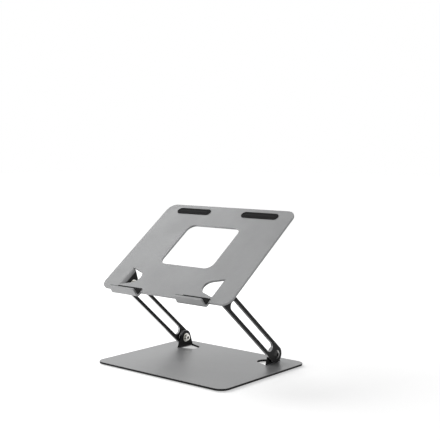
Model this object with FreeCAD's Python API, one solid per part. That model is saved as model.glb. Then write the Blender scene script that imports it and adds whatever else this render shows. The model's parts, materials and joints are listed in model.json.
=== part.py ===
import FreeCAD, Part
import math
import os

from FreeCAD import Vector

os.makedirs("parts", exist_ok=True)

# Laptop stand: base plate, two slotted link arms and a tray with front lips.
# +Z up, the tray's lips face -Y, origin on the table under the middle of the base.

# driving dimensions, millimetres and degrees
base_width = 236.0
base_depth = 186.0
sheet = 3.0
corner_radius = 14.0
foot_height = 1.5
foot_radius = 8.0
foot_inset = 20.0

arm_length = 147.0
arm_width = 23.6
arm_thickness = 4.0
arm_rail = 5.2
arm_slot_setback = 14.0
arm_angle = 40.7
pivot_y = 60.0
arm_under_gap = 1.4
tab_face_x = 82.0
tab_foot_half = 15.5
tab_end_radius = 11.0
bend_radius = 1.5
tab_kerf = 0.8

tray_width = 236.0
tray_depth = 186.0
tray_tilt = 36.2
tray_front = 32.1
vent_width = 96.0
vent_depth = 84.0
vent_offset = 74.0
vent_corner = 12.0

lip_width = 48.0
lip_centre_x = 61.5
lip_height = 15.3
lip_bend_radius = 2.0
lip_corner = 2.2
rim_round = 0.5
lip_pad_thickness = 1.2
lip_pad_inset = 0.6
lip_pad_reach = 12.0
strip_length = 64.0
strip_width = 12.0
strip_thickness = 1.0
strip_edge = 14.0

sleeve_radius = 3.0
thread_radius = 2.0
head_radius = 6.2
head_rise = 2.2
bolt_socket_flats = 4.0
bolt_socket_depth = 2.6
nut_head_radius = 4.7
nut_head_height = 3.4
nut_chamfer = 0.6
nut_socket_flats = 4.0
nut_socket_depth = 2.2
nut_washer_radius = 6.3
nut_washer_thickness = 1.0
pivot_washer_radius = 10.6
pivot_washer_thickness = 1.2

# clearances
running_gap = 0.05
bore_gap = 0.06
head_gap = 0.08
pad_gap = 0.05
thread_gap = 0.05

# derived
arm_radius = arm_width / 2
axis_height = arm_radius + arm_under_gap
base_top = foot_height + sheet
pivot_z = base_top + axis_height
arm_inner_x = tab_face_x + sheet + pivot_washer_thickness + running_gap
arm_outer_x = arm_inner_x + arm_thickness
head_start_x = tab_face_x - nut_washer_thickness - nut_head_height
cone_depth = head_radius - sleeve_radius
bend_centre_x = tab_face_x + sheet + bend_radius
bend_length = math.pi / 2 * (bend_radius + sheet / 2)
upper_y = pivot_y - arm_length * math.cos(math.radians(arm_angle))
upper_z = pivot_z + arm_length * math.sin(math.radians(arm_angle))
tray_top = axis_height + sheet
X_AXIS = Vector(1, 0, 0)
Y_AXIS = Vector(0, 1, 0)
Z_AXIS = Vector(0, 0, 1)
SIDES = (("left", -1), ("right", 1))


def save(shape, node):
    shape.exportStep("parts/" + node + ".step")


def mirrored(shape, side):
    """The piece as made for the +X side, or its mirror image for the -X side."""
    if side > 0:
        return shape
    return shape.mirror(Vector(0, 0, 0), X_AXIS)


def face_of(edges):
    return Part.Face(Part.Wire(edges))


def edges_along(shape, axis):
    """The shape's straight edges that run along an axis."""
    chosen = []
    for edge in shape.Edges:
        if abs(edge.tangentAt(edge.FirstParameter).dot(axis)) > 0.99 and len(edge.Vertexes) == 2:
            if abs((edge.Vertexes[1].Point - edge.Vertexes[0].Point).dot(axis)) > 0.99 * edge.Length:
                chosen.append(edge)
    return chosen


def round_rims(shape, axis, size, wanted=lambda edge: True):
    """Round the outlines of a plate's two faces; axis is the plate's normal."""
    across = [e.hashCode() for e in edges_along(shape, axis)]
    rims = [e for e in shape.Edges if e.hashCode() not in across and wanted(e)]
    return shape.makeFillet(size, rims)


def rounded_plate(width, depth, radius, thickness):
    """A flat plate centred on the origin, its underside at z = 0."""
    plate = Part.makeBox(width, depth, thickness, Vector(-width / 2, -depth / 2, 0))
    return plate.makeFillet(radius, edges_along(plate, Z_AXIS))


def tab_outline(place, grow):
    """Face of a pivot tab above its bend: a wide foot drawn in to a round end.

    place(u, v) turns width u and height v above the bend into a point."""
    centre = axis_height - bend_radius
    radius = tab_end_radius + grow
    foot = tab_foot_half + grow
    reach = math.hypot(foot, centre)
    turn = math.acos(radius / reach) - math.atan2(centre, foot)
    touch_u = radius * math.cos(turn)
    touch_v = centre + radius * math.sin(turn)
    left_foot = place(-foot, 0)
    left_touch = place(-touch_u, touch_v)
    top = place(0, centre + radius)
    right_touch = place(touch_u, touch_v)
    right_foot = place(foot, 0)
    edges = [
        Part.makeLine(left_foot, left_touch),
        Part.Arc(left_touch, top, right_touch).toShape(),
        Part.makeLine(right_touch, right_foot),
        Part.makeLine(right_foot, left_foot),
    ]
    return face_of(edges)


def tab_and_bend():
    """A tab bent up from a sheet whose near face is z = 0, centred on y = 0."""
    outline = tab_outline(lambda u, v: Vector(tab_face_x, u, bend_radius + v), 0)
    tab = outline.extrude(Vector(sheet, 0, 0))
    tab = round_rims(tab, X_AXIS, rim_round, lambda edge: edge.CenterOfMass.z > bend_radius + rim_round)
    tab = tab.cut(Part.makeCylinder(
        sleeve_radius + bore_gap, 3 * sheet, Vector(tab_face_x - sheet, 0, axis_height), X_AXIS))
    start = Vector(bend_centre_x, -tab_foot_half, bend_radius)
    length = 2 * tab_foot_half
    outer = Part.makeCylinder(bend_radius + sheet, length, start, Y_AXIS)
    inner = Part.makeCylinder(bend_radius, length, start, Y_AXIS)
    quarter = Part.makeBox(
        bend_radius + sheet, length, bend_radius + sheet, Vector(tab_face_x, -tab_foot_half, -sheet))
    bend = outer.cut(inner).common(quarter)
    return tab.fuse(bend)


def tab_window():
    """The opening that the tab leaves in its sheet: the tab's flat shape plus the saw cut."""
    fold = bend_centre_x - bend_length
    outline = tab_outline(lambda u, v: Vector(fold - v, u, -2 * sheet), tab_kerf)
    window = outline.extrude(Vector(0, 0, 3 * sheet))
    strip_half = tab_foot_half + tab_kerf
    strip = Part.makeBox(bend_length, 2 * strip_half, 3 * sheet, Vector(fold, -strip_half, -2 * sheet))
    return window.fuse(strip)


def with_tabs(plate, centre_y):
    """Cut both windows in the plate and add both tabs; the plate's near face is z = 0."""
    for _, side in SIDES:
        window = tab_window()
        window.translate(Vector(0, centre_y, 0))
        plate = plate.cut(mirrored(window, side))
    for _, side in SIDES:
        tab = tab_and_bend()
        tab.translate(Vector(0, centre_y, 0))
        plate = plate.fuse(mirrored(tab, side))
    return plate.removeSplitter()


def base_plate():
    plate = rounded_plate(base_width, base_depth, corner_radius, sheet)
    plate = round_rims(plate, Z_AXIS, rim_round)
    plate.translate(Vector(0, 0, -sheet))
    plate = with_tabs(plate, pivot_y)
    plate.translate(Vector(0, 0, base_top))
    return plate


def arm():
    """The +X side's link: a round-ended plate with a long slot, along +Y from the lower pivot."""
    body = Part.makeBox(
        arm_thickness, arm_length, arm_width, Vector(arm_inner_x, 0, -arm_radius))
    for end in (0, arm_length):
        body = body.fuse(Part.makeCylinder(
            arm_radius, arm_thickness, Vector(arm_inner_x, end, 0), X_AXIS))
    slot_radius = arm_radius - arm_rail
    slot_start = arm_slot_setback + slot_radius
    slot_end = arm_length - slot_start
    slot = Part.makeBox(
        3 * arm_thickness, slot_end - slot_start, 2 * slot_radius,
        Vector(arm_inner_x - arm_thickness, slot_start, -slot_radius))
    for end in (slot_start, slot_end):
        slot = slot.fuse(Part.makeCylinder(
            slot_radius, 3 * arm_thickness, Vector(arm_inner_x - arm_thickness, end, 0), X_AXIS))
    body = round_rims(body.removeSplitter().cut(slot.removeSplitter()), X_AXIS, rim_round)
    for end in (0, arm_length):
        centre = Vector(arm_inner_x - arm_thickness, end, 0)
        body = body.cut(Part.makeCylinder(sleeve_radius + bore_gap, 3 * arm_thickness, centre, X_AXIS))
        seat = Part.makeCone(
            sleeve_radius + head_gap, head_radius + head_gap, cone_depth,
            Vector(arm_outer_x - cone_depth, end, 0), X_AXIS)
        body = body.cut(seat)
    return body


def placed_arm(side):
    body = mirrored(arm(), side)
    body.rotate(Vector(0, 0, 0), X_AXIS, 180 - arm_angle)
    body.translate(Vector(0, pivot_y, pivot_z))
    return body


def hexagon(flats, thickness, start):
    """A hexagonal prism along +X."""
    radius = flats / math.sqrt(3)
    corners = []
    for i in range(7):
        angle = math.radians(60 * i)
        corners.append(start + Vector(0, radius * math.cos(angle), radius * math.sin(angle)))
    return Part.Face(Part.makePolygon(corners)).extrude(Vector(thickness, 0, 0))


def ring(outer_radius, bore_radius, start_x, thickness):
    start = Vector(start_x, 0, 0)
    disc = Part.makeCylinder(outer_radius, thickness, start, X_AXIS)
    return disc.cut(Part.makeCylinder(bore_radius, thickness, start, X_AXIS))


def dome(radius, rise, start_x):
    """A spherical cap along +X on a circle of this radius."""
    sphere_radius = (radius ** 2 + rise ** 2) / (2 * rise)
    sphere = Part.makeSphere(sphere_radius, Vector(start_x + rise - sphere_radius, 0, 0))
    keep = Part.makeBox(
        2 * rise, 2 * sphere_radius, 2 * sphere_radius, Vector(start_x, -sphere_radius, -sphere_radius))
    return sphere.common(keep)


def bolt():
    """Countersunk socket bolt with a raised head, screwed into the barrel nut."""
    thread_start = tab_face_x - thread_gap
    shank = Part.makeCylinder(
        thread_radius, arm_outer_x - thread_start, Vector(thread_start, 0, 0), X_AXIS)
    cone = Part.makeCone(
        sleeve_radius, head_radius, cone_depth, Vector(arm_outer_x - cone_depth, 0, 0), X_AXIS)
    whole = shank.fuse(cone).fuse(dome(head_radius, head_rise, arm_outer_x)).removeSplitter()
    socket_start = Vector(arm_outer_x + head_rise - bolt_socket_depth, 0, 0)
    return whole.cut(hexagon(bolt_socket_flats, 2 * bolt_socket_depth, socket_start))


def barrel_nut():
    """Round-headed nut whose sleeve is the pivot pin: a hexagon socket in its head, a bore in its sleeve."""
    head = Part.makeCylinder(nut_head_radius, nut_head_height, Vector(head_start_x, 0, 0), X_AXIS)
    face_edges = [e for e in head.Edges if abs(e.CenterOfMass.x - head_start_x) < thread_gap]
    head = head.makeChamfer(nut_chamfer, face_edges)
    head_end = head_start_x + nut_head_height
    sleeve_end = arm_outer_x - cone_depth - thread_gap
    sleeve = Part.makeCylinder(sleeve_radius, sleeve_end - head_end, Vector(head_end, 0, 0), X_AXIS)
    bore = Part.makeCylinder(
        thread_radius + thread_gap, sleeve_end - head_end, Vector(head_end, 0, 0), X_AXIS)
    socket_start = Vector(head_start_x - nut_socket_depth, 0, 0)
    whole = head.fuse(sleeve).removeSplitter().cut(bore)
    return whole.cut(hexagon(nut_socket_flats, 2 * nut_socket_depth, socket_start))


def tray_plate():
    """The tray in its own flat frame: pivot axis at the origin, near face of the sheet at z = 0."""
    plate = rounded_plate(tray_width, tray_depth, corner_radius, sheet)
    plate = round_rims(plate, Z_AXIS, rim_round)
    plate.translate(Vector(0, tray_depth / 2 - tray_front + lip_bend_radius + sheet, -sheet))
    vent = rounded_plate(vent_width, vent_depth, vent_corner, 3 * sheet)
    vent.translate(Vector(0, vent_offset, -2 * sheet))
    plate = plate.cut(vent)
    return with_tabs(plate, 0)


def lip(centre_x):
    """A lip bent up at the tray's front, in the tray's frame with the sheet's top at z = 0."""
    start_x = centre_x - lip_width / 2
    front = -tray_front
    bend_y = front + lip_bend_radius
    tongue_end = front + lip_bend_radius + sheet + 2 * rim_round
    tongue = Part.makeBox(lip_width, tongue_end - bend_y, sheet, Vector(start_x, bend_y, -sheet))
    centre = Vector(start_x, bend_y, lip_bend_radius)
    outer = Part.makeCylinder(lip_bend_radius + sheet, lip_width, centre, X_AXIS)
    inner = Part.makeCylinder(lip_bend_radius, lip_width, centre, X_AXIS)
    quarter = Part.makeBox(
        lip_width, lip_bend_radius + sheet, lip_bend_radius + sheet,
        Vector(start_x, front - sheet, -sheet))
    bend = outer.cut(inner).common(quarter)
    upright_height = lip_height - sheet - lip_bend_radius
    upright = Part.makeBox(
        lip_width, sheet, upright_height, Vector(start_x, front - sheet, lip_bend_radius))
    upper = lip_bend_radius + upright_height / 2
    tops = [e for e in edges_along(upright, Y_AXIS) if e.CenterOfMass.z > upper]
    upright = upright.makeFillet(lip_corner, tops)
    upright = round_rims(
        upright, Y_AXIS, rim_round, lambda edge: edge.CenterOfMass.z > lip_bend_radius + rim_round)
    return tongue.fuse(bend).fuse(upright)


def lip_pad(centre_x):
    """Soft L-shaped pad inside a lip, in the tray's frame with the sheet's top at z = 0."""
    width = lip_width - 2 * lip_pad_inset
    start_x = centre_x - width / 2
    front = -tray_front + pad_gap
    top = lip_height - sheet - lip_pad_inset
    reach = front + lip_pad_reach
    upright = Part.makeBox(width, lip_pad_thickness, top, Vector(start_x, front, 0))
    flat = Part.makeBox(width, reach - front, strip_thickness, Vector(start_x, front, 0))
    pad = upright.fuse(flat).removeSplitter()
    corner = Part.makeBox(width, lip_bend_radius, lip_bend_radius, Vector(start_x, front, 0))
    round_centre = Vector(start_x, front + lip_bend_radius, lip_bend_radius)
    corner = corner.cut(Part.makeCylinder(lip_bend_radius - pad_gap, width, round_centre, X_AXIS))
    fillet = Part.makeBox(width, lip_bend_radius, lip_bend_radius, Vector(start_x, front, 0))
    fillet = fillet.cut(corner)
    pad = pad.fuse(fillet).cut(corner)
    return pad.removeSplitter()


def strip():
    start = Vector(-strip_length / 2, -strip_width / 2, 0)
    body = Part.makeBox(strip_length, strip_width, strip_thickness, start)
    ends = [e for e in body.Edges if abs(e.tangentAt(e.FirstParameter).z) > 0.9]
    return body.makeFillet(strip_width / 2 - pad_gap, ends)


def onto_tray(shape, height):
    """Lift a piece by height above the pivot axis, tilt it with the tray and carry it to the pivot."""
    shape.translate(Vector(0, 0, height))
    shape.rotate(Vector(0, 0, 0), X_AXIS, tray_tilt)
    shape.translate(Vector(0, upper_y, upper_z))
    return shape


save(base_plate(), "base_plate")

for end, end_sign in (("front", -1), ("rear", 1)):
    for name, side in SIDES:
        foot_x = side * (base_width / 2 - foot_inset)
        foot_y = end_sign * (base_depth / 2 - foot_inset)
        foot = Part.makeCylinder(foot_radius, foot_height, Vector(foot_x, foot_y, 0), Z_AXIS)
        save(foot, "foot_" + end + "_" + name)

for name, side in SIDES:
    save(placed_arm(side), "arm_" + name)

washer_bore = sleeve_radius + bore_gap
hardware = (
    ("bolt", bolt()),
    ("nut", barrel_nut()),
    ("nut_washer", ring(
        nut_washer_radius, washer_bore, tab_face_x - nut_washer_thickness, nut_washer_thickness)),
    ("pivot_washer", ring(
        pivot_washer_radius, washer_bore, tab_face_x + sheet, pivot_washer_thickness)),
)
for level, y, z in (("lower", pivot_y, pivot_z), ("upper", upper_y, upper_z)):
    for name, side in SIDES:
        for piece_name, piece in hardware:
            piece = mirrored(piece.copy(), side)
            piece.translate(Vector(0, y, z))
            save(piece, level + "_" + piece_name + "_" + name)

tray = tray_plate()
tray.rotate(Vector(0, 0, 0), X_AXIS, 180)
tray = tray.mirror(Vector(0, 0, 0), Y_AXIS)
tray.translate(Vector(0, 0, axis_height))
for name, side in SIDES:
    body = lip(side * lip_centre_x)
    body.translate(Vector(0, 0, tray_top))
    tray = tray.fuse(body)
save(onto_tray(tray.removeSplitter(), 0), "tray_plate")

for name, side in SIDES:
    save(onto_tray(lip_pad(side * lip_centre_x), tray_top), "lip_pad_" + name)

strip_y = -tray_front + lip_bend_radius + sheet + tray_depth - strip_edge
for name, side in SIDES:
    body = strip()
    body.translate(Vector(side * lip_centre_x, strip_y, 0))
    save(onto_tray(body, tray_top), "rear_strip_" + name)
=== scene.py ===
import json
import math

import bmesh
import bpy
from mathutils import Matrix, Vector


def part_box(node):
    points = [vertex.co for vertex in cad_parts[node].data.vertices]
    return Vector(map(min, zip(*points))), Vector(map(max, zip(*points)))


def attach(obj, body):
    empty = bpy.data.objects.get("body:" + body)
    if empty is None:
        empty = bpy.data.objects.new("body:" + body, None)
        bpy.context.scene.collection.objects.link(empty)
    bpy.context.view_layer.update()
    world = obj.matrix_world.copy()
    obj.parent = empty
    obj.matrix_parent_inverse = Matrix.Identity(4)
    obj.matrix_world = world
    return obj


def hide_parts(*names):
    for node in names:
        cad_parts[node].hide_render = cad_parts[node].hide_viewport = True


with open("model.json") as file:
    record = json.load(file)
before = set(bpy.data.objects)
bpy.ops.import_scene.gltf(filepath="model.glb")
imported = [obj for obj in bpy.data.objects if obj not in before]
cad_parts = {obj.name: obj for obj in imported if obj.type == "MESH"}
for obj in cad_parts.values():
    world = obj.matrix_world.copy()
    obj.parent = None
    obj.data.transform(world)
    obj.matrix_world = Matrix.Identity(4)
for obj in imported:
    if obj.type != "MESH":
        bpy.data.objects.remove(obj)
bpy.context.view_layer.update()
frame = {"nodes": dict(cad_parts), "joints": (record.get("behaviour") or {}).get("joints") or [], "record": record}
scene = bpy.context.scene

# ---------------------------------------------------------------- camera
# The stand is seen from its right front corner, from a little above, with a short telephoto lens.
CAMERA_AZIMUTH = 39.9
CAMERA_RISE = 4.88
CAMERA_ROLL = 0.1
CAMERA_DISTANCE = 1.2137
CAMERA_TARGET = Vector((0.0358, 0.0, 0.2086))
CAMERA_LENS = 72.08


def add_camera():
    azimuth = math.radians(CAMERA_AZIMUTH)
    rise = math.radians(CAMERA_RISE)
    back = Vector((
        math.sin(azimuth) * math.cos(rise),
        -math.cos(azimuth) * math.cos(rise),
        math.sin(rise)))
    right = Vector((0, 0, 1)).cross(back).normalized()
    up = back.cross(right)
    turn = Matrix((right, up, back)).transposed()
    turn = turn @ Matrix.Rotation(math.radians(CAMERA_ROLL), 3, "Z")
    camera = bpy.data.objects.new("camera", bpy.data.cameras.new("camera"))
    camera.data.lens = CAMERA_LENS
    camera.data.sensor_width = 36.0
    camera.matrix_world = Matrix.Translation(CAMERA_TARGET + back * CAMERA_DISTANCE) @ turn.to_4x4()
    scene.collection.objects.link(camera)
    scene.camera = camera


# ---------------------------------------------------------------- node helpers
def new_material(name):
    material = bpy.data.materials.new(name)
    material.use_nodes = True
    tree = material.node_tree
    shader = tree.nodes["Principled BSDF"]
    return material, tree, shader


def noise(tree, place, scale, detail=3.0, roughness=0.55, distortion=0.0):
    made = tree.nodes.new("ShaderNodeTexNoise")
    made.inputs["Scale"].default_value = scale
    made.inputs["Detail"].default_value = detail
    made.inputs["Roughness"].default_value = roughness
    made.inputs["Distortion"].default_value = distortion
    tree.links.new(place, made.inputs["Vector"])
    return made.outputs["Fac"]


def spread(tree, value, low, high, to_low, to_high):
    made = tree.nodes.new("ShaderNodeMapRange")
    made.inputs["From Min"].default_value = low
    made.inputs["From Max"].default_value = high
    made.inputs["To Min"].default_value = to_low
    made.inputs["To Max"].default_value = to_high
    tree.links.new(value, made.inputs["Value"])
    return made.outputs["Result"]


def maths(tree, operation, first, second):
    made = tree.nodes.new("ShaderNodeMath")
    made.operation = operation
    for index, value in enumerate((first, second)):
        if isinstance(value, (int, float)):
            made.inputs[index].default_value = value
        else:
            tree.links.new(value, made.inputs[index])
    return made.outputs["Value"]


def blend_colours(tree, factor, first, second):
    made = tree.nodes.new("ShaderNodeMix")
    made.data_type = "RGBA"
    for socket, value in ((made.inputs[6], first), (made.inputs[7], second)):
        if isinstance(value, tuple):
            socket.default_value = (*value, 1.0)
        else:
            tree.links.new(value, socket)
    tree.links.new(factor, made.inputs["Factor"])
    return made.outputs[2]


def bump(tree, height, strength, distance, below=None):
    made = tree.nodes.new("ShaderNodeBump")
    made.inputs["Strength"].default_value = strength
    made.inputs["Distance"].default_value = distance
    tree.links.new(height, made.inputs["Height"])
    if below is not None:
        tree.links.new(below, made.inputs["Normal"])
    return made.outputs["Normal"]


def edge_mask(tree, radius):
    """1 along rounded edges, 0 on flat faces."""
    soft = tree.nodes.new("ShaderNodeBevel")
    soft.samples = 6
    soft.inputs["Radius"].default_value = radius
    hard = tree.nodes.new("ShaderNodeNewGeometry")
    dot = tree.nodes.new("ShaderNodeVectorMath")
    dot.operation = "DOT_PRODUCT"
    tree.links.new(soft.outputs["Normal"], dot.inputs[0])
    tree.links.new(hard.outputs["Normal"], dot.inputs[1])
    return spread(tree, dot.outputs["Value"], 0.995, 0.86, 0.0, 1.0)


# ---------------------------------------------------------------- places
def joint_place(name):
    return Vector(next(joint for joint in frame["joints"] if joint["name"] == name)["pos_m"])


def node_object(name):
    return frame["nodes"][name] if name in frame["nodes"] else bpy.data.objects[name]


LOWER_PIVOT = joint_place("left_arm_swing")
UPPER_PIVOT = joint_place("tray_tilt")
TRAY_TILT = math.radians(36.2)
TRAY_BACK = Vector((0.0, math.cos(TRAY_TILT), math.sin(TRAY_TILT)))
TRAY_NORMAL = Vector((0.0, -math.sin(TRAY_TILT), math.cos(TRAY_TILT)))
SHEET = 0.003


def tray_extent(name):
    """Lowest and highest (x, back, up) of a node in the tray's own frame, measured from the upper pivot."""
    rows = []
    for vertex in node_object(name).data.vertices:
        from_pivot = vertex.co - UPPER_PIVOT
        rows.append((vertex.co.x, from_pivot.dot(TRAY_BACK), from_pivot.dot(TRAY_NORMAL)))
    return [min(column) for column in zip(*rows)], [max(column) for column in zip(*rows)]


def on_tray(x, back, up):
    return Vector((x, 0.0, 0.0)) + UPPER_PIVOT + TRAY_BACK * back + TRAY_NORMAL * up


# top of the tray's sheet above the upper pivot
TRAY_TOP = tray_extent("rear_strip_left")[0][2]


# ---------------------------------------------------------------- materials
def dot_with(tree, vector, direction):
    made = tree.nodes.new("ShaderNodeVectorMath")
    made.operation = "DOT_PRODUCT"
    made.inputs[1].default_value = direction
    tree.links.new(vector, made.inputs[0])
    return made.outputs["Value"]


def distance_from_axis(tree, place, centre):
    """Distance of a place from a line through centre along X."""
    flat = tree.nodes.new("ShaderNodeVectorMath")
    flat.operation = "MULTIPLY_ADD"
    flat.inputs[1].default_value = (0.0, 1.0, 1.0)
    flat.inputs[2].default_value = (0.0, -centre.y, -centre.z)
    tree.links.new(place, flat.inputs[0])
    length = tree.nodes.new("ShaderNodeVectorMath")
    length.operation = "LENGTH"
    tree.links.new(flat.outputs["Vector"], length.inputs[0])
    return length.outputs["Value"]


def pivot_radius(tree, place):
    """Distance from the nearer of the two pivot axes."""
    lower = distance_from_axis(tree, place, LOWER_PIVOT)
    upper = distance_from_axis(tree, place, UPPER_PIVOT)
    return maths(tree, "MINIMUM", lower, upper)


def backward_share(tree, place):
    """1 on the back of a pivot's hardware, 0 on its front, soft between; it places the painted highlight on the
    bolt heads.
    """
    lower = dot_with(tree, place, (0.0, 1.0, 0.0))
    from_lower = maths(tree, "ABSOLUTE", maths(tree, "SUBTRACT", lower, LOWER_PIVOT.y), 0.0)
    from_upper = maths(tree, "ABSOLUTE", maths(tree, "SUBTRACT", lower, UPPER_PIVOT.y), 0.0)
    is_lower = maths(tree, "LESS_THAN", from_lower, from_upper)
    behind_lower = maths(tree, "MULTIPLY", maths(tree, "SUBTRACT", lower, LOWER_PIVOT.y), is_lower)
    is_upper = maths(tree, "SUBTRACT", 1.0, is_lower)
    behind_upper = maths(tree, "MULTIPLY", maths(tree, "SUBTRACT", lower, UPPER_PIVOT.y), is_upper)
    return spread(tree, maths(tree, "ADD", behind_lower, behind_upper), -0.0005, 0.0025, 0.0, 1.0)


def scaled_colour(tree, colour, factor):
    made = tree.nodes.new("ShaderNodeVectorMath")
    made.operation = "SCALE"
    tree.links.new(colour, made.inputs[0])
    tree.links.new(factor, made.inputs["Scale"])
    return made.outputs["Vector"]


def satin_coat(name, colour, second_colour, zone, roughness, edge_lift, specular, metal=0.0, second_metal=0.0):
    """Fine satin finish in two tones that paint light and shade by face direction: close grain, faint mottling,
    lighter where edges wear.

    zone(tree, place, normal) is 1 where the second colour lies; metal and bare are the two metallic shares."""
    material, tree, shader = new_material(name)
    coordinates = tree.nodes.new("ShaderNodeTexCoord")
    place = coordinates.outputs["Object"]
    cloud = noise(tree, place, 24.0, 4.0)
    grain = noise(tree, place, 1500.0, 2.0, 0.6)
    speck = noise(tree, place, 3200.0, 1.0, 0.5)
    second = zone(tree, place, coordinates.outputs["Normal"])
    tone = spread(tree, cloud, 0.3, 0.7, 0.94, 1.06)
    glint = spread(tree, speck, 0.62, 0.78, 0.0, 0.22)
    pit = spread(tree, grain, 0.40, 0.28, 0.0, 0.16)
    tone = maths(tree, "ADD", tone, maths(tree, "SUBTRACT", glint, pit))
    edge = maths(tree, "MULTIPLY", edge_mask(tree, 0.0007), spread(tree, cloud, 0.35, 0.65, 0.4, 1.0))
    tone = maths(tree, "ADD", tone, maths(tree, "MULTIPLY", edge, edge_lift))
    body = scaled_colour(tree, blend_colours(tree, second, colour, second_colour), tone)
    tree.links.new(body, shader.inputs["Base Color"])
    rough = spread(tree, cloud, 0.25, 0.75, roughness - 0.035, roughness + 0.035)
    rough = maths(tree, "ADD", rough, spread(tree, grain, 0.3, 0.7, -0.03, 0.03))
    tree.links.new(rough, shader.inputs["Roughness"])
    tree.links.new(spread(tree, second, 0.0, 1.0, metal, second_metal), shader.inputs["Metallic"])
    peel = noise(tree, place, 420.0, 2.0, 0.5)
    relief = bump(tree, peel, 0.10, 0.00012)
    relief = bump(tree, grain, 0.22, 0.00006, relief)
    tree.links.new(relief, shader.inputs["Normal"])
    shader.inputs["Specular IOR Level"].default_value = specular
    return material


def upright_faces(tree, place, normal):
    """Painted shade: 1 on the base plate's cut edges and its hinge tabs, which are painted near-black."""
    level = maths(tree, "ABSOLUTE", dot_with(tree, normal, (0.0, 0.0, 1.0)), 0.0)
    return spread(tree, level, 0.80, 0.35, 0.0, 1.0)


def below_tray_sheet(tree, place, normal):
    """Painted shade: 1 on what hangs below the tray's sheet, which is its two hinge tabs, painted near-black."""
    height = dot_with(tree, place, TRAY_NORMAL)
    sheet_low = UPPER_PIVOT.dot(TRAY_NORMAL) + TRAY_TOP - SHEET
    return spread(tree, height, sheet_low - 0.0004, sheet_low - 0.0026, 0.0, 1.0)


def narrow_faces(tree, place, normal):
    """1 on the arms' narrow faces, round the outline and inside the slot, which carry painted light; the flat
    sides carry painted shade.
    """
    across = maths(tree, "ABSOLUTE", dot_with(tree, normal, (1.0, 0.0, 0.0)), 0.0)
    return spread(tree, across, 0.80, 0.45, 0.0, 1.0)


def turned_steel(name, colour, roughness, recess_radius, metallic=1.0, shade_line_radius=None, highlight_radius=None):
    """Turned and plated steel: rings left by the lathe, faint stains, painted shade in the recess.

    shade_line_radius is where a painted shade line lies, where the nut head meets its washer; outside
    highlight_radius the rim's back half carries a painted highlight."""
    ring_pitch = 0.00035
    material, tree, shader = new_material(name)
    place = tree.nodes.new("ShaderNodeTexCoord").outputs["Object"]
    radius = pivot_radius(tree, place)
    wander = noise(tree, place, 500.0, 2.0, 0.5)
    phase = maths(tree, "ADD", maths(tree, "MULTIPLY", radius, 2 * math.pi / ring_pitch), maths(
        tree, "MULTIPLY", wander, 3.0))
    rings = spread(tree, maths(tree, "SINE", phase, 0.0), -1.0, 1.0, 0.0, 1.0)
    stain = noise(tree, place, 260.0, 4.0, 0.6)
    dark = tuple(0.60 * c for c in colour)
    body = blend_colours(tree, spread(tree, stain, 0.38, 0.75, 0.0, 0.9), colour, dark)
    if highlight_radius is not None:
        # painted highlight: the rim's back half is painted bright, a crescent on each bolt head
        rim = spread(tree, radius, highlight_radius, highlight_radius + 0.0009, 0.0, 1.0)
        painted_highlight = maths(tree, "MULTIPLY", rim, maths(
            tree, "MULTIPLY", backward_share(tree, place), spread(tree, stain, 0.30, 0.55, 0.6, 1.0)))
        body = blend_colours(tree, painted_highlight, body, (0.62, 0.61, 0.60))
    # painted shade: darker inside the recess round the pivot axis
    painted_shade = spread(tree, radius, recess_radius, recess_radius * 0.86, 1.0, 0.04)
    if shade_line_radius is not None:
        # painted shade: a dark line where the nut head meets its washer
        off_shade_line = maths(tree, "ABSOLUTE", maths(tree, "SUBTRACT", radius, shade_line_radius), 0.0)
        painted_shade = maths(tree, "MULTIPLY", painted_shade, spread(tree, off_shade_line, 0.00006, 0.00020, 0.15, 1.0))
    tree.links.new(scaled_colour(tree, body, painted_shade), shader.inputs["Base Color"])
    shader.inputs["Metallic"].default_value = metallic
    rough = maths(tree, "ADD", spread(tree, rings, 0.0, 1.0, roughness - 0.04, roughness + 0.06), spread(
        tree, stain, 0.3, 0.7, 0.0, 0.08))
    tree.links.new(rough, shader.inputs["Roughness"])
    tree.links.new(bump(tree, rings, 0.20, 0.00003), shader.inputs["Normal"])
    return material


def soft_rubber(name, colour, roughness):
    """Moulded silicone or rubber: matt skin, dust-fine pores and a pale bloom."""
    material, tree, shader = new_material(name)
    place = tree.nodes.new("ShaderNodeTexCoord").outputs["Object"]
    pores = noise(tree, place, 1900.0, 2.0, 0.7)
    bloom = noise(tree, place, 55.0, 5.0, 0.6)
    pale = tuple(1.7 * c + 0.004 for c in colour)
    body = blend_colours(tree, spread(tree, bloom, 0.45, 0.8, 0.0, 0.6), colour, pale)
    tree.links.new(body, shader.inputs["Base Color"])
    tree.links.new(spread(tree, bloom, 0.3, 0.7, roughness - 0.06, roughness + 0.06), shader.inputs["Roughness"])
    tree.links.new(bump(tree, pores, 0.25, 0.00006), shader.inputs["Normal"])
    shader.inputs["Specular IOR Level"].default_value = 0.2
    return material


# near-black painted shade for the base's and tray's upright faces and hanging tabs
PAINTED_SHADE_BLACK = (0.007, 0.007, 0.0075)

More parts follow.
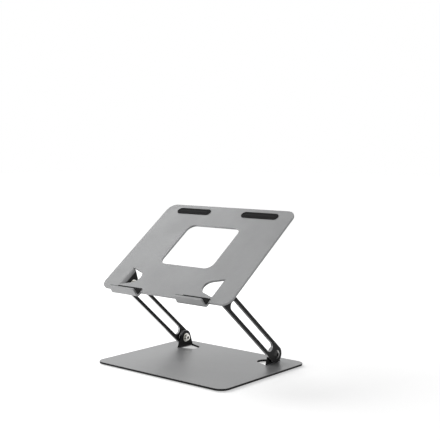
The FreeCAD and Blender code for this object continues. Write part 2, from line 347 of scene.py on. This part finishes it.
MATERIALS = {
    "base_paint": satin_coat(
        "base_coat", (0.312, 0.314, 0.317), PAINTED_SHADE_BLACK, upright_faces, 0.36, 0.4, 0.12, metal=0.5),
    "tray_paint": satin_coat(
        "tray_coat", (0.312, 0.314, 0.317), PAINTED_SHADE_BLACK, below_tray_sheet, 0.36, 0.4, 0.12, metal=0.5),
    # arms: near-black painted shade on the flat sides, pale painted light on the narrow faces
    "arm_paint": satin_coat(
        "arm_coat", (0.008, 0.008, 0.0085), (0.42, 0.42, 0.425), narrow_faces, 0.28, 0.4, 0.12, second_metal=0.9),
    "bolt_steel": turned_steel(
        "bolt_steel", (0.030, 0.030, 0.030), 0.22, 0.0021, metallic=0.4, highlight_radius=0.0028),
    "nut_zinc": turned_steel("nut_zinc", (0.84, 0.83, 0.78), 0.20, 0.0023, shade_line_radius=0.0049),
    "washer_steel": turned_steel("washer_steel", (0.90, 0.89, 0.87), 0.35, 0.0031, metallic=0.0),
    "foot_rubber": soft_rubber("foot_rubber", (0.020, 0.020, 0.0205), 0.72),
    "pad_silicone": soft_rubber("pad_silicone", (0.005, 0.005, 0.0053), 0.66),
}

SLOT_OF = {part["node"]: part["material_slot"] for part in frame["record"]["subparts"]}
for name in frame["nodes"]:
    for slot in node_object(name).material_slots:
        slot.material = MATERIALS[SLOT_OF[name]]


# ---------------------------------------------------------------- rubber pieces
def finish_piece(name, points, faces, replaced, body, sharp_above=None):
    mesh = bpy.data.meshes.new(name)
    mesh.from_pydata(points, [], faces)
    shape = bmesh.new()
    shape.from_mesh(mesh)
    bmesh.ops.recalc_face_normals(shape, faces=shape.faces)
    shape.to_mesh(mesh)
    shape.free()
    piece = bpy.data.objects.new(name, mesh)
    scene.collection.objects.link(piece)
    mesh.materials.append(MATERIALS[SLOT_OF[replaced]])
    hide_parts(replaced)
    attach(piece, body)
    return piece


def loft(rings):
    """Faces that join equal closed rings of points and cap both ends."""
    count = len(rings[0])
    points = [point for ring in rings for point in ring]
    faces = []
    for level in range(len(rings) - 1):
        low = level * count
        high = low + count
        for i in range(count):
            j = (i + 1) % count
            faces.append((low + i, low + j, high + j, high + i))
    faces.append(tuple(range(count)))
    faces.append(tuple(range(len(points) - count, len(points))))
    return points, faces


def ribbed_profile(width, height, edge, rib_pitch, rib_depth, flat_middle):
    """(inset, height) steps from a moulded pad's foot over its round edge and grooves to the middle."""
    steps = [(0.0, 0.0), (0.0, height - edge)]
    for i in range(1, 6):
        angle = math.pi / 2 * i / 5
        steps.append((edge * (1 - math.cos(angle)), height - edge + edge * math.sin(angle)))
    inset = edge + rib_pitch / 2
    while inset + rib_pitch < width - flat_middle:
        for i in range(7):
            turn = 2 * math.pi * i / 6
            steps.append((inset + rib_pitch / 2 * i / 6, height - rib_depth * (1 - math.cos(turn)) / 2))
        inset += rib_pitch
    steps.append((width - flat_middle, height))
    return steps


def racetrack(half_length, radius, turns=20):
    """Outline of a strip with round ends, as (along, across)."""
    outline = []
    for end in (1, -1):
        for i in range(turns + 1):
            angle = math.pi * i / turns - math.pi / 2
            outline.append((end * (half_length + radius * math.cos(angle)), end * radius * math.sin(angle)))
    return outline


def add_rear_strip(side):
    """Silicone strip at the back of the tray, moulded with grooves that follow its outline."""
    name = "rear_strip_" + side
    low, high = tray_extent(name)
    centre = [(a + b) / 2 for a, b in zip(low, high)]
    radius = (high[1] - low[1]) / 2
    half_length = (high[0] - low[0]) / 2 - radius
    rings = []
    for inset, height in ribbed_profile(radius, high[2] - low[2], 0.0004, 0.0011, 0.00028, 0.0006):
        rings.append([
            on_tray(centre[0] + along, centre[1] + across, low[2] + height)
            for along, across in racetrack(half_length, radius - inset)])
    points, faces = loft(rings)
    piece = finish_piece("silicone_strip_" + side, points, faces, name, "tray")
    smooth(piece)


def grooved_line(start, end, count, depth, inward):
    """Points from start to end with rounded grooves sunk along inward."""
    line = []
    steps = 6 * count
    for i in range(steps + 1):
        place = start.lerp(end, i / steps)
        sink = depth * (1 - math.cos(2 * math.pi * i / 6)) / 2
        line.append(place + inward * sink)
    return line


def add_lip_pad(side):
    """Silicone pad in the lip: an L with a round heel, grooved where the laptop touches it."""
    name = "lip_pad_" + side
    low, high = tray_extent(name)
    reach = high[1] - low[1]
    height = high[2] - low[2]
    upright = 0.0012
    flat = 0.0010
    heel = 0.00195
    fillet = 0.0016
    outline = []
    for i in range(7):
        angle = math.pi + math.pi / 2 * i / 6
        outline.append(Vector((heel + heel * math.cos(angle), heel + heel * math.sin(angle))))
    outline.append(Vector((reach, 0.0)))
    outline += grooved_line(
        Vector((reach - 0.0003, flat)), Vector((upright + fillet, flat)), 6, 0.0003, Vector((0.0, -1.0)))
    for i in range(1, 6):
        angle = math.pi * 1.5 - math.pi / 2 * i / 6
        outline.append(Vector((
            upright + fillet + fillet * math.cos(angle), flat + fillet + fillet * math.sin(angle))))
    outline += grooved_line(
        Vector((upright, flat + fillet)), Vector((upright, height - 0.0004)), 5, 0.0003, Vector((-1.0, 0.0)))
    outline.append(Vector((upright * 0.75, height)))
    outline.append(Vector((upright * 0.25, height)))
    outline.append(Vector((0.0, height - 0.0003)))
    rings = []
    for x in (low[0], high[0]):
        rings.append([on_tray(x, low[1] + point.x, low[2] + point.y) for point in outline])
    points, faces = loft(rings)
    piece = finish_piece("silicone_lip_pad_" + side, points, faces, name, "tray")
    soften(piece, 0.00025)


def add_foot(end, side):
    """Rubber foot, turned profile with grooves underneath and a round lower edge."""
    name = "foot_" + end + "_" + side
    low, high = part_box(name)
    centre = Vector(((low[0] + high[0]) / 2, (low[1] + high[1]) / 2, 0.0))
    radius = (high[0] - low[0]) / 2
    rings = []
    for inset, height in ribbed_profile(radius, high[2] - low[2], 0.0005, 0.0016, 0.0004, 0.0008):
        rings.append([
            centre + Vector((
                (radius - inset) * math.cos(2 * math.pi * i / 64),
                (radius - inset) * math.sin(2 * math.pi * i / 64),
                high[2] - height))
            for i in range(64)])
    points, faces = loft(rings)
    smooth(finish_piece("rubber_foot_" + end + "_" + side, points, faces, name, "base"))


def smooth(piece):
    for polygon in piece.data.polygons:
        polygon.use_smooth = True
    piece.data.set_sharp_from_angle(angle=math.radians(50))


def soften(piece, width):
    bevel = piece.modifiers.new("soft_edges", "BEVEL")
    bevel.width = width
    bevel.segments = 2
    bevel.limit_method = "ANGLE"
    bevel.angle_limit = math.radians(55)
    smooth(piece)


for side in ("left", "right"):
    add_rear_strip(side)
    add_lip_pad(side)
    for end in ("front", "rear"):
        add_foot(end, side)


# ---------------------------------------------------------------- studio
def seen_directly(tree):
    """1 for what the camera, a reflection or a transmission sees, 0 for light that only falls on things."""
    path = tree.nodes.new("ShaderNodeLightPath")
    seen = maths(tree, "ADD", path.outputs["Is Camera Ray"], path.outputs["Is Glossy Ray"])
    seen = maths(tree, "ADD", seen, path.outputs["Is Transmission Ray"])
    return maths(tree, "MINIMUM", seen, 1.0)


def add_world(level):
    world = bpy.data.worlds.new("studio")
    scene.world = world
    world.use_nodes = True
    tree = world.node_tree
    tree.nodes.clear()
    strength = spread(tree, seen_directly(tree), 0.0, 1.0, level, 1.0)
    light = tree.nodes.new("ShaderNodeBackground")
    light.inputs["Color"].default_value = (1.0, 1.0, 1.0, 1.0)
    tree.links.new(strength, light.inputs["Strength"])
    out = tree.nodes.new("ShaderNodeOutputWorld")
    tree.links.new(light.outputs["Background"], out.inputs["Surface"])


def add_floor(size, albedo, near_lift, far_lift):
    """Pale floor: diffuse, with a little light of its own towards the camera so that it reads white.

    The lift grows away from the stand, where the lamps reach the floor less."""
    mesh = bpy.data.meshes.new("floor")
    half = size / 2
    mesh.from_pydata(
        [(-half, -half, 0), (half, -half, 0), (half, half, 0), (-half, half, 0)], [], [(0, 1, 2, 3)])
    floor = bpy.data.objects.new("floor", mesh)
    scene.collection.objects.link(floor)
    material, tree, shader = new_material("floor_white")
    tree.nodes.remove(shader)
    out = tree.nodes["Material Output"]
    diffuse = tree.nodes.new("ShaderNodeBsdfDiffuse")
    diffuse.inputs["Color"].default_value = (albedo, albedo, albedo, 1.0)
    glow = tree.nodes.new("ShaderNodeEmission")
    length = tree.nodes.new("ShaderNodeVectorMath")
    length.operation = "LENGTH"
    tree.links.new(tree.nodes.new("ShaderNodeTexCoord").outputs["Object"], length.inputs[0])
    lift = spread(tree, length.outputs["Value"], 0.22, 1.1, near_lift, far_lift)
    tree.links.new(maths(tree, "MULTIPLY", seen_directly(tree), lift), glow.inputs["Strength"])
    both = tree.nodes.new("ShaderNodeAddShader")
    tree.links.new(diffuse.outputs["BSDF"], both.inputs[0])
    tree.links.new(glow.outputs["Emission"], both.inputs[1])
    tree.links.new(both.outputs["Shader"], out.inputs["Surface"])
    floor.data.materials.append(material)


def add_softbox(name, position, target, width, height, power):
    data = bpy.data.lights.new(name, "AREA")
    data.shape = "RECTANGLE"
    data.size = width
    data.size_y = height
    data.energy = power
    lamp = bpy.data.objects.new(name, data)
    lamp.location = position
    lamp.visible_glossy = False
    lamp.rotation_euler = (Vector(target) - Vector(position)).to_track_quat("-Z", "Y").to_euler()
    scene.collection.objects.link(lamp)


add_camera()
add_world(0.36)
add_floor(14.0, 0.78, 0.47, 0.76)
add_softbox("key", (-0.58, 0.0, 0.66), (-0.05, 0.0, 0.05), 0.7, 0.6, 6.6)
add_softbox("fill", (-0.50, -0.60, 0.42), (-0.02, -0.05, 0.08), 0.6, 0.5, 2.6)

scene.view_settings.view_transform = "Standard"
